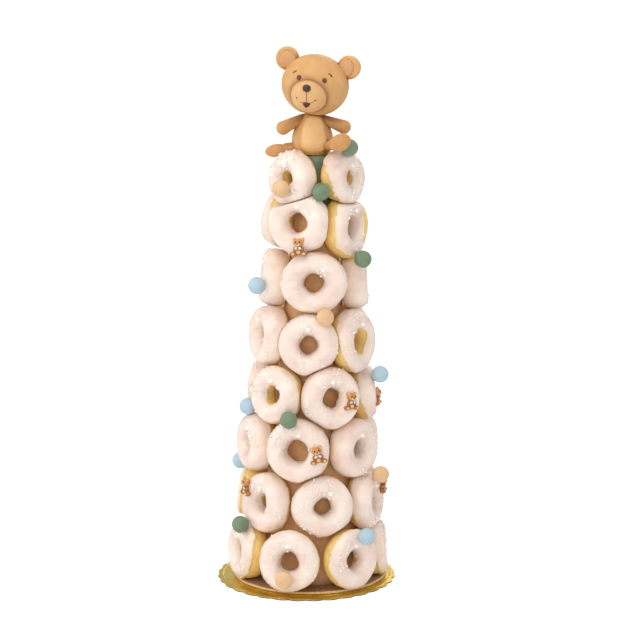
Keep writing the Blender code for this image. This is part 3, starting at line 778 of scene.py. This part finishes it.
def make_glaze_coat(doughnut, planes, material):
    """The glaze as a closed skin: full thickness over the front, rounded down at its edges."""
    outer, hole = coat_of(doughnut)
    turn = np.linspace(0, 2 * np.pi, GLAZE_TURNS, endpoint=False)
    steps = (1 - np.cos(np.linspace(0, np.pi, GLAZE_ROLLS))) / 2
    turns, share = np.meshgrid(turn, steps, indexing="ij")
    first, last = outer(turns), hole(turns)
    rolls = first + (last - first) * share
    from_edge = np.minimum(rolls - first, last - rolls) * DOUGH_WIDTH / 2
    rounded = np.sqrt(np.clip(1 - (1 - np.clip(from_edge / GLAZE_LIP, 0, 1)) ** 2, 0, 1))
    draw = random.Random("glaze " + doughnut.name)
    flow = ripple(draw, (3, 5, 8, 11), 0.00022)(turns + 0.8 * rolls)
    bead = GLAZE_BEAD * np.exp(-((from_edge - 0.0022) / 0.0014) ** 2)
    size = GLAZE_CRUST * COATS.get(doughnut.name, USUAL_COAT).ragged ** 0.7
    crust = (ripple(draw, (29, 37, 47), size)(turns + 0.6 * rolls)
             * ripple(draw, (11, 17, 23), 3.0)(rolls + 0.5 * np.sin(2 * turns)))
    crust *= np.clip(0.45 + ripple(draw, (2, 3), 0.9)(turns), 0, 1)
    raised = (flow + crust + bead) * rounded
    front = on_doughnut(doughnut, turns, rolls, GLAZE_THICKNESS * 1.3 * (1 - rounded) - raised)
    turns_back, share_back = np.meshgrid(turn, np.linspace(1, 0, GLAZE_BACKS + 2)[1:-1],
                                         indexing="ij")
    first_back, last_back = outer(turns_back), hole(turns_back)
    rolls_back = first_back + (last_back - first_back) * share_back
    behind = on_doughnut(doughnut, turns_back, rolls_back, GLAZE_THICKNESS * 1.9)
    points = press(np.concatenate((front, behind), axis=1), planes)[0]
    mesh = ring_mesh(doughnut.name + "_glaze", points)
    thin = np.zeros(points.shape[:2])
    thin[:, :GLAZE_ROLLS] = np.exp(-from_edge / GLAZE_THIN_EDGE) * 0.75
    set_field(mesh, "thin", thin)
    return show(doughnut.name + "_glaze", mesh, material)


def joined_balls(name, places, radii, material, detail):
    """Many small balls as one mesh, copied from one icosphere."""
    bm = bmesh.new()
    bmesh.ops.create_icosphere(bm, subdivisions=detail, radius=1.0)
    bm.verts.ensure_lookup_table()
    unit = np.array([vertex.co[:] for vertex in bm.verts])
    corners = np.array([[vertex.index for vertex in face.verts] for face in bm.faces])
    bm.free()
    places, radii = np.asarray(places), np.asarray(radii)
    points = places[:, None, :] + unit[None, :, :] * radii[:, None, None]
    faces = corners[None, :, :] + (np.arange(len(places)) * len(unit))[:, None, None]
    return show(name, mesh_from(name, points, faces.reshape(-1, 3)), material)


def scatter_pearls(doughnuts, spaces, finishes):
    """One larger pearl over each pick, and fine pearls in patches on the glaze."""
    large, fine, sizes = [], [], []
    for doughnut in doughnuts:
        planes = spaces[doughnut.name]
        draw = random.Random(doughnut.name)
        usual = PEARL_TURN + draw.uniform(-PEARL_TURN_SPREAD, PEARL_TURN_SPREAD)
        turn = PEARL_TURNS.get(doughnut.name, usual)
        place = on_doughnut(doughnut, np.array([math.radians(turn)]),
                            np.array([math.radians(PEARL_ROLL)]))
        large.append(press(place, planes)[0][0])
        draw = random.Random("pearls " + doughnut.name)
        patches = PATCHES.get(doughnut.name) or [
            Patch(draw.uniform(0, 360), draw.uniform(60, 110), draw.uniform(35, 60),
                  draw.randint(10, 22)) for _ in range(2)]
        outer, hole = coat_of(doughnut)
        for patch in patches:
            for _ in range(patch.count):
                turn = math.radians(draw.gauss(patch.turn, patch.spread / 2))
                roll = math.radians(draw.gauss(patch.roll, PATCH_ROLL_SPREAD))
                low, high = (float(edge(np.array(turn))) for edge in (outer, hole))
                if not low + OUTER_ROOM < roll < high - HOLE_ROOM:
                    continue
                radius = FINE_PEARL_RADIUS * draw.uniform(0.7, 1.15)
                place, moved = press(on_doughnut(doughnut, np.array([turn]), np.array([roll]),
                                                 -FINE_PEARL_STAND * radius), planes)
                if moved[0] > PEARL_MOVE_LIMIT:
                    continue
                fine.append(place[0])
                sizes.append(radius)
    joined_balls("pick_pearls", large, [PEARL_RADIUS] * len(large), finishes["pearl"],
                 3)
    joined_balls("fine_pearls", fine, sizes, finishes["pearl"], 2)


# ---- balls and little bears ----------------------------------------------------------------

def make_ball(name, centre, material):
    """A hand-rolled ball, very slightly out of round."""
    draw = random.Random(name)
    turned = Matrix.Rotation(draw.uniform(0, 3), 3, Vector([draw.gauss(0, 1) for _ in range(3)]))
    radii = [BALL_RADIUS * draw.uniform(0.985, 1.0) for _ in range(3)]
    return show(name, bmesh_to_mesh(name, lump(centre, radii, turned, 48, 32)), material)


def make_balls(finishes):
    for node in BALL_NODES:
        low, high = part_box(node)
        colour = node.split("_")[1]
        piece = make_ball(node + "_fondant", (Vector(low) + Vector(high)) / 2,
                          finishes[colour])
        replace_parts(piece, node)


def tree_of(pieces):
    points, faces = [], []
    for piece in pieces:
        start = len(points)
        points += [vertex.co.copy() for vertex in piece.data.vertices]
        faces += [[start + index for index in face.vertices] for face in piece.data.polygons]
    return BVHTree.FromPolygons(points, faces)


def settle(bearing, height, clearances):
    """Moves in level with the axis from outside until every surface is just far enough off."""
    facing = heading(bearing)
    axis = axis_at(height / 1000)
    radius = 2 * CONE_BASE_RADIUS
    for _ in range(80):
        place = axis + facing * radius
        room = min(tree.find_nearest(place)[3] - distance for tree, distance in clearances)
        radius -= max(room, 0.0)
    return axis + facing * radius


# A little bear: right, back and up of each lump's centre, then its radii, in mm, by colour.
# The lumps in PAIRS are made on both sides.
LITTLE_BODY = {
    "caramel": (((0.0, -3.2, 4.4), (5.7, 4.2, 4.5)),),
    "amber": (((0.0, -2.4, -3.6), (4.6, 4.0, 5.6)),),
    "pale": (((0.0, -6.6, 2.7), (2.6, 1.4, 1.8)), ((0.0, -5.2, -5.4), (2.4, 1.5, 2.2))),
    "dark": (((0.0, -7.8, 3.7), (0.95, 0.55, 0.7)), ((0.0, -6.9, -1.4), (0.7, 0.5, 0.8))),
    "white": (((0.0, -6.0, -1.2), (1.0, 0.9, 1.1)),),
}
LITTLE_PAIRS = {
    "caramel": (((4.7, -2.4, 7.6), (2.0, 1.8, 2.0)),),
    "amber": (((5.6, -3.8, -7.4), (3.8, 3.6, 2.6)), ((4.5, -4.0, -2.6), (1.6, 1.8, 2.8))),
    "pale": (((4.7, -3.7, 7.6), (1.2, 0.8, 1.2)), ((6.2, -6.9, -7.4), (1.6, 0.7, 1.3))),
    "dark": (((2.3, -6.9, 5.4), (0.9, 0.6, 0.95)), ((3.4, -6.3, -0.4), (0.55, 0.4, 0.5))),
    "white": (((2.2, -6.1, -1.1), (1.9, 0.8, 1.6)),),
}


def make_little_bear(name, place, facing, tip, finishes):
    right = Vector((0.0, 0.0, 1.0)).cross(facing).normalized()
    turned = Matrix((right, -facing, facing.cross(right))).transposed()
    turned = turned @ Matrix.Rotation(math.radians(tip), 3, "Y")
    bm = bmesh.new()
    colours = list(LITTLE_BODY)
    for index, colour in enumerate(colours):
        made = [(centre, radii, 1) for centre, radii in LITTLE_BODY[colour]]
        made += [(centre, radii, side) for centre, radii in LITTLE_PAIRS[colour]
                 for side in (-1, 1)]
        for (across, back, up), radii, side in made:
            before = len(bm.faces)
            spot = place + turned @ Vector((side * across, back, up)) / 1000
            lump(spot, in_metres(radii), turned, 20, 12, bm)
            bm.faces.ensure_lookup_table()
            for face in bm.faces[before:]:
                face.material_index = index
    return show_bear(name, bm, [finishes[colour] for colour in colours])


def add_pressed_toppings(coats, finishes):
    """The balls and little bears that are pressed into one doughnut each."""
    trees = {name: tree_of([coat]) for name, coat in coats.items()}
    for number, (tier, place, bearing, height, colour) in enumerate(PRESSED_BALLS, start=1):
        host = f"doughnut_{tier}_{place}"
        spot = settle(bearing, height, [
            (tree, BALL_RADIUS - BALL_SINK - GAP if name == host else BALL_RADIUS)
            for name, tree in trees.items()])
        make_ball(f"pressed_ball_{number}", spot, finishes[colour])
    for number, (tier, place, bearing, height, tip) in enumerate(SMALL_BEARS, start=1):
        host = trees[f"doughnut_{tier}_{place}"]
        spot = settle(bearing, height, [(host, SMALL_BEAR_REACH)])
        spot -= heading(bearing) * (SMALL_BEAR_REACH + SMALL_BEAR_SINK)
        make_little_bear(f"little_bear_{number}", spot, heading(bearing), tip, finishes)


# ---- the seated bear -----------------------------------------------------------------------

def from_tip(place):
    return axis_at(CONE_HEIGHT) + Vector(place) / 1000


HEAD_TURNED = (Matrix.Rotation(math.radians(HEAD_ROLL), 3, "Y")
               @ Matrix.Rotation(math.radians(-HEAD_YAW), 3, "Z"))
MUZZLE = ((0.0, -22.5, -10.2), (19.9, 18.5, 18.4))
NOSE = ((-0.5, -40.0, -2.6), (4.5, 3.4, 4.1))
EYES = {"left": ((-12.4, -29.6, 6.6), (2.8, 2.0, 2.8)),
        "right": ((14.8, -28.4, 7.8), (2.8, 2.0, 2.8))}
EARS = {"left": ((-35.0, 1.5, 23.0), (12.8, 5.2, 12.8)),
        "right": ((33.3, 1.5, 24.3), (12.8, 5.2, 12.8))}
EAR_PADS = {"left": ((-33.6, -1.9, 22.0), (9.0, 3.0, 9.0)),
            "right": ((30.6, -1.9, 23.4), (8.4, 3.0, 9.4))}


def in_head(place):
    return from_tip(HEAD_CENTRE) + HEAD_TURNED @ (Vector(place) / 1000)


def coin(centre, radii, turned, dish=0.0):
    """A disc with a soft edge that faces forwards, its front hollowed by a share of its depth."""
    bm = bmesh.new()
    bmesh.ops.create_uvsphere(bm, u_segments=64, v_segments=44, radius=1.0)
    for vertex in bm.verts:
        side, up, front = vertex.co
        depth = math.copysign(abs(front) ** 0.55, front)
        hollow = dish * max(0.0, 1 - (math.hypot(side, up) / 0.8) ** 4) if front > 0 else 0.0
        shaped = Vector((side * radii[0], -(depth - hollow) * radii[1], up * radii[2])) / 1000
        vertex.co = centre + turned @ shaped
    bmesh.ops.reverse_faces(bm, faces=bm.faces)
    return bm


def flatten_above(bm, plane):
    """Keeps a mesh on the material side of a plane."""
    for vertex in bm.verts:
        depth = (vertex.co - plane.point).dot(plane.normal)
        if depth < 0.0:
            vertex.co -= plane.normal * depth


def shade_where_close(mesh, neighbours, reach, strength=1.0):
    """Marks the points of a mesh that lie close to other pieces, for painted shade there."""
    trees = [tree_of([piece]) for piece in neighbours]
    values = []
    for vertex in mesh.vertices:
        near = min(tree.find_nearest(vertex.co)[3] for tree in trees)
        values.append(strength * math.exp(-near / reach))
    set_field(mesh, "crease", values)


def stroke(name, points, radius, material, widths=None):
    """A thin painted or scored line: a tube along a few points, with its width at each."""
    curve = bpy.data.curves.new(name, "CURVE")
    curve.dimensions = "3D"
    curve.bevel_depth = radius
    curve.bevel_resolution = 3
    curve.use_fill_caps = True
    spline = curve.splines.new("POLY")
    spline.points.add(len(points) - 1)
    for index, (point, place) in enumerate(zip(spline.points, points)):
        point.co = (*place, 1.0)
        point.radius = widths[index] if widths else 1.0
    holder = bpy.data.objects.new(name + "_curve", curve)
    bpy.context.scene.collection.objects.link(holder)
    bpy.context.view_layer.update()
    mesh = bpy.data.meshes.new_from_object(holder.evaluated_get(
        bpy.context.evaluated_depsgraph_get()))
    bpy.data.objects.remove(holder, do_unlink=True)
    mesh.name = name
    mesh.materials.clear()
    return show(name, mesh, material)


def onto(tree, across, up, sink=0.0):
    """The point of a surface straight in front of a place in the head's own front view."""
    start = in_head((across, -80.0, up))
    inward = HEAD_TURNED @ Vector((0.0, 1.0, 0.0))
    point, normal, _, _ = tree.ray_cast(start, inward)
    return point - normal * sink


def make_bear_head(neck, torso, finishes):
    head_plane = Plane(neck.point + neck.normal * GAP / 2, neck.normal)
    bm = lump(from_tip(HEAD_CENTRE), in_metres(HEAD_RADII), HEAD_TURNED, 96, 64)
    flatten_above(bm, head_plane)
    skull = show_bear("bear_skull", bm, finishes["tan"])
    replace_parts(skull, "bear_head")
    parts = {}
    for name, (place, radii), material, sides in (
            ("bear_muzzle", MUZZLE, "muzzle", 72), ("bear_nose", NOSE, "nose", 32)):
        bm = lump(in_head(place), in_metres(radii), HEAD_TURNED, sides, sides * 2 // 3)
        parts[name] = show_bear(name, bm, finishes[material])
    for label in ("left", "right"):
        for name, (place, radii), material, dish in (
                ("bear_ear", EARS[label], "tan", 0.28),
                ("bear_ear_pad", EAR_PADS[label], "pad", 0.0)):
            name = f"{name}_{label}"
            parts[name] = show_bear(name, coin(in_head(place), radii, HEAD_TURNED, dish),
                                    finishes[material])
        place, radii = EYES[label]
        show_bear(f"bear_eye_{label}",
                  lump(in_head(place), in_metres(radii), HEAD_TURNED, 32, 20), finishes["eye"])
    ears = [parts["bear_ear_left"], parts["bear_ear_right"]]
    # Painted shade where the skull meets the ears, muzzle and torso, round the ears' roots, the
    # muzzle's edge and the ear pads.
    shade_where_close(skull.data, ears + [parts["bear_muzzle"], torso], 0.0022)
    for ear in ears:
        shade_where_close(ear.data, [skull], 0.0028)
    shade_where_close(parts["bear_muzzle"].data, [skull], 0.0012, 0.7)
    for label in ("left", "right"):
        shade_where_close(parts[f"bear_ear_pad_{label}"].data, [parts[f"bear_ear_{label}"]], 0.0006,
                     0.8)
    draw_face(skull, parts["bear_muzzle"], finishes)


def draw_face(skull, muzzle, finishes):
    """Brows, the line under the nose, the open mouth and the dimples."""
    brow_tree = tree_of([skull])
    for label, places in (("left", ((-16.6, 13.0), (-18.0, 12.6), (-19.4, 11.5), (-20.6, 10.1))),
                          ("right", ((17.0, 15.6), (18.6, 15.3), (20.1, 14.1), (21.4, 12.5)))):
        line = [onto(brow_tree, across, up, 0.0002) for across, up in places]
        stroke(f"bear_brow_{label}", line, 0.00100, finishes["brow"], (0.5, 0.8, 1.0, 0.8))
    muzzle_tree = tree_of([muzzle])
    line = [onto(muzzle_tree, 0.2 + 1.4 * share, -5.8 - 11.4 * share, 0.0002)
            for share in np.linspace(0, 1, 8)]
    stroke("bear_lip_line", line, 0.00045, finishes["brow"])
    for label, places in (("left", ((-7.4, -16.6), (-5.2, -18.2), (-2.6, -18.6), (0.2, -17.4))),
                          ("right", ((2.8, -17.4), (5.2, -17.6), (7.4, -16.4), (9.4, -14.4)))):
        line = [onto(muzzle_tree, across, up, 0.0002) for across, up in places]
        stroke(f"bear_smile_{label}", line, 0.00045, finishes["brow"], (0.5, 0.9, 1.0, 0.8))
    middle = onto(muzzle_tree, 1.5, -19.4, 0.0006)
    bm = lump(middle, (0.0041, 0.0018, 0.0040), HEAD_TURNED, 40, 24)
    for vertex in bm.verts:
        apart = HEAD_TURNED.transposed() @ (vertex.co - middle)
        apart.x *= 1 + 0.35 * apart.z / 0.0040
        vertex.co = middle + HEAD_TURNED @ apart
    for across, up in ((-9.8, -14.4), (10.2, -13.8)):
        lump(onto(muzzle_tree, across, up, 0.0005), (0.0011, 0.0009, 0.0011), HEAD_TURNED, 20, 12,
             bm)
    show_bear("bear_mouth", bm, finishes["mouth"])


def shape_torso(bm):
    middle = from_tip(TORSO_CENTRE)
    for vertex in bm.verts:
        level = (vertex.co.z - middle.z) / (TORSO_RADII[2] / 1000)
        width = 1 - TORSO_NARROWING * level
        vertex.co.x = middle.x + (vertex.co.x - middle.x) * width
        vertex.co.y = middle.y + (vertex.co.y - middle.y) * width


def make_limb(name, torso, finishes):
    """A limb drawn out of a ball, thinner where it leaves the torso, with its foot if any."""
    start, end, start_radius, end_radius = LIMBS[name]
    start, end = from_tip(start), from_tip(end)
    along = (end - start).to_track_quat("Z", "Y").to_matrix()
    bm = bmesh.new()
    bmesh.ops.create_uvsphere(bm, u_segments=40, v_segments=28, radius=1.0)
    for vertex in bm.verts:
        far = vertex.co.z > 0
        radius = (end_radius if far else start_radius) / 1000
        vertex.co = (end if far else start) + along @ vertex.co * radius
    if name in FEET:
        centre, radii, roll = FEET[name]
        turned = Matrix.Rotation(math.radians(roll), 3, "Y")
        lump(from_tip(centre), in_metres(radii), turned, 56, 36, bm)
    mesh = bmesh_to_mesh(name, bm)
    # Painted shade where the limb meets the torso.
    shade_where_close(mesh, [torso], 0.0024)
    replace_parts(show(name + "_fondant", mesh, finishes["limb"]), name)


TUMMY_HALF_WIDTH = 13.0
TUMMY_HALF_HEIGHT = 19.4
TUMMY_LIFT = 0.0009             # how far its front stands off the torso
TUMMY_SINK = 0.0012             # how deep its back lies in it


def make_tummy(torso, finishes):
    """The paler patch on the front of the torso: a ball flattened into a shield, then laid on
    the torso with its front half lifted and its back half sunk in."""
    tree = tree_of([torso])
    middle = from_tip(TORSO_CENTRE)
    bm = lump((0.0, 0.0, 0.0), (1.0, 1.0, 1.0), Matrix.Rotation(math.radians(90), 3, "X"), 72, 40)
    for vertex in bm.verts:
        side, front, up = vertex.co
        from_middle = math.hypot(side, up)
        if from_middle > 0:
            squarer = (abs(side) ** 3 + abs(up) ** 3) ** (1 / 3) / from_middle
            side, up = side / squarer, up / squarer
        start = middle + Vector((1.2 + TUMMY_HALF_WIDTH * side * (1 - 0.24 * up), -60.0,
                                 1.4 + TUMMY_HALF_HEIGHT * up)) / 1000
        point, normal, _, _ = tree.ray_cast(start, Vector((0.0, 1.0, 0.0)))
        edge = math.sqrt(max(0.0, 1 - from_middle ** 8))
        vertex.co = point + normal * (TUMMY_LIFT * edge if front < 0 else -TUMMY_SINK)
    mesh = bmesh_to_mesh("bear_tummy", bm)
    # Painted shade round the tummy's edge, where it meets the torso.
    shade_where_close(mesh, [torso], 0.0004, 0.8)
    show("bear_tummy", mesh, finishes["peach"])


def make_seated_bear(finishes):
    seat = Plane(from_tip((0.0, 0.0, GAP * 1000)), Vector((0.0, 0.0, 1.0)))
    roll = Matrix.Rotation(math.radians(HEAD_ROLL), 3, "Y")
    neck = Plane(from_tip((TORSO_CENTRE[0], 0.0, NECK_HEIGHT)), roll @ Vector((0.0, 0.0, 1.0)))
    bm = lump(from_tip(TORSO_CENTRE), in_metres(TORSO_RADII), sides=72, rings=48)
    shape_torso(bm)
    flatten_above(bm, seat)
    flatten_above(bm, Plane(neck.point - neck.normal * GAP / 2, -neck.normal))
    torso = show_bear("bear_torso_fondant", bm, finishes["tan"])
    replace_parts(torso, "bear_torso")
    for name in LIMBS:
        make_limb(name, torso, finishes)
    make_bear_head(neck, torso, finishes)
    make_tummy(torso, finishes)
    # Painted shade on the torso where the head and limbs meet it.
    shade_where_close(torso.data, [bpy.data.objects["bear_skull"]]
                 + [bpy.data.objects[name + "_fondant"] for name in LIMBS], 0.0022)


# ---- floor, light and camera ---------------------------------------------------------------

CAMERA_PLACE = (0.0152, -2.2, 0.6852)
CAMERA_DIP = 0.1774             # radians below the horizon
CAMERA_LENS = 114.1
STUDIO_LIGHT = 0.50
BACKDROP = 1.1                  # how bright the studio's backdrop is seen
FLOOR_GLOW = 0.62
LIGHTS = (                      # name, place, size in metres, watts
    ("key", (-1.4, -2.0, 1.3), 1.2, 13.0), ("front", (0.0, -2.4, 1.0), 1.0, 9.0),
    ("left", (-1.8, 0.2, 0.8), 1.0, 7.0), ("right", (1.8, -0.2, 0.8), 1.0, 4.0),
    ("top", (-0.2, -0.4, 2.2), 1.4, 15.0), ("back", (0.6, 1.6, 1.2), 1.2, 6.0),
)


def make_stage_and_light():
    bpy.ops.mesh.primitive_plane_add(size=12.0, location=(0.0, 2.0, -0.0004))
    floor = bpy.context.object
    floor.name = "floor"
    floor.data.materials.append(make_stage())
    world = bpy.data.worlds.new("studio")
    bpy.context.scene.world = world
    world.use_nodes = True
    # The backdrop is seen a little brighter than the light that it gives.
    seen = add_node(world.node_tree, "ShaderNodeLightPath").outputs["Is Camera Ray"]
    strength = add_node(world.node_tree, "ShaderNodeMath", {
        0: seen, 1: BACKDROP - STUDIO_LIGHT, 2: STUDIO_LIGHT}, operation="MULTIPLY_ADD")
    backdrop = world.node_tree.nodes["Background"]
    backdrop.inputs["Color"].default_value = (1.0, 0.985, 0.965, 1.0)
    world.node_tree.links.new(strength.outputs[0], backdrop.inputs["Strength"])
    for name, place, size, power in LIGHTS:
        light = bpy.data.lights.new(name, "AREA")
        light.size = size
        light.energy = power
        light.color = (1.0, 0.96, 0.90)
        lamp = bpy.data.objects.new(name, light)
        lamp.location = place
        aim = Vector((0.0, 0.0, 0.3)) - Vector(place)
        lamp.rotation_euler = aim.to_track_quat("-Z", "Y").to_euler()
        bpy.context.scene.collection.objects.link(lamp)


def make_camera():
    data = bpy.data.cameras.new("camera")
    data.lens = CAMERA_LENS
    data.sensor_width = 36.0
    camera = bpy.data.objects.new("camera", data)
    camera.location = CAMERA_PLACE
    camera.rotation_euler = (math.pi / 2 - CAMERA_DIP, 0.0, 0.0)
    bpy.context.scene.collection.objects.link(camera)
    bpy.context.scene.camera = camera
    bpy.context.scene.view_settings.view_transform = "Standard"


# ---- putting it together -------------------------------------------------------------------

def make_finishes():
    return {
        "glaze": make_glaze(), "dough": make_dough(), "pearl": make_pearl(),
        "green": make_fondant("green_paste", (124, 148, 120), (102, 126, 100)),
        "blue": make_fondant("blue_paste", (182, 209, 226), (168, 197, 219)),
        "beige": make_fondant("beige_paste", (232, 198, 154), (216, 178, 134)),
        # The darker colours given with the bear's pastes are painted shade where pieces meet.
        "tan": make_fondant("tan_paste", (222, 174, 114), (208, 156, 96), 0.55,
                            shade_colour=(136, 82, 34)),
        "peach": make_fondant("peach_paste", (246, 208, 152), (236, 190, 130), 0.55,
                              shade_colour=(190, 132, 74)),
        # Painted shade: the limbs are a darker copy of the tan paste.
        "limb": make_fondant("limb_paste", (210, 160, 100), (194, 142, 82), 0.55,
                             shade_colour=(128, 78, 34)),
        "muzzle": make_fondant("muzzle_paste", (230, 184, 130), (218, 170, 116), 0.55,
                               shade_colour=(160, 106, 58)),
        "pad": make_fondant("ear_pad_paste", (216, 168, 116), (204, 152, 100), 0.55,
                            shade_colour=(150, 98, 48)),
        "nose": make_fondant("nose_paste", (66, 44, 38), (48, 32, 28), 0.35),
        "eye": make_fondant("eye_paste", (120, 66, 52), (88, 44, 36), 0.35),
        "brow": make_fondant("brow_paste", (120, 72, 40), (94, 52, 28), 0.5),
        "mouth": make_fondant("mouth_paste", (92, 40, 30), (68, 28, 20), 0.5),
        "caramel": make_fondant("caramel_sugar", (224, 164, 100), (182, 118, 58), 0.35, 420.0),
        "amber": make_fondant("amber_sugar", (198, 134, 72), (146, 88, 40), 0.35, 420.0),
        "pale": make_fondant("pale_sugar", (246, 212, 160), (226, 176, 112), 0.4, 420.0),
        "dark": make_fondant("dark_sugar", (72, 38, 22), (50, 26, 16), 0.3),
        "white": make_fondant("white_sugar", (244, 244, 244), (196, 194, 190), 0.3, 700.0),
        "gold": make_gold_foil(), "card": make_card_edge(), "cream": make_cream_edge(),
        "speckled": make_speckled_top(), "cone": make_cone_foam(),
    }


def build_looks():
    finishes = make_finishes()
    make_camera()
    make_stage_and_light()
    make_board(finishes)
    make_disc(finishes)
    make_cone(finishes)
    doughnuts = lay_out_doughnuts()
    spaces = {doughnut.name: own_space(doughnut, doughnuts) for doughnut in doughnuts}
    coats = {}
    for doughnut in doughnuts:
        make_dough_ring(doughnut, spaces[doughnut.name], finishes["dough"])
        coats[doughnut.name] = make_glaze_coat(doughnut, spaces[doughnut.name],
                                               finishes["glaze"])
    scatter_pearls(doughnuts, spaces, finishes)
    make_balls(finishes)
    add_pressed_toppings(coats, finishes)
    make_seated_bear(finishes)


build_looks()
